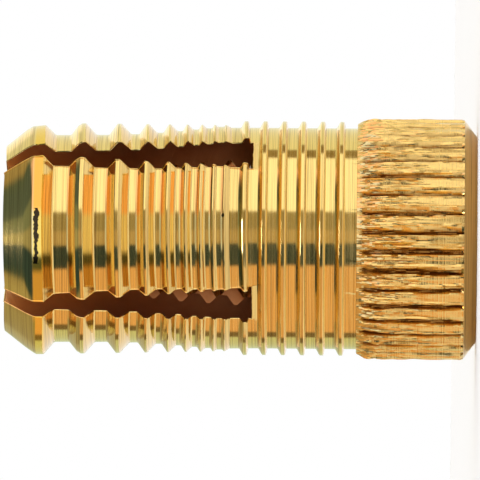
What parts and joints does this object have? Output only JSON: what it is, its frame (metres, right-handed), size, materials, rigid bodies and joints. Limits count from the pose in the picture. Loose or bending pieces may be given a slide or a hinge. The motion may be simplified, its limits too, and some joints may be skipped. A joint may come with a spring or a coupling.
{
  "type": "brass expansion anchor",
  "caption": "Tubular brass expansion anchor: knurled collar, locking fins, barbs and slotted legs pressed in at the nose, threaded for a screw.",
  "frame": {"origin": "centre of the mouth face, where the screw enters; the sleeve stands on this face", "axes": "+Z along the bore axis from the mouth to the slotted nose; the four slots lie along +X, -X, +Y and -Y"},
  "size_m": [0.013, 0.013, 0.0258],
  "materials": {
    "brass": "satin"
  },
  "bodies": {
    "root": {"anchor_sleeve": "brass"}
  },
  "joints": []
}
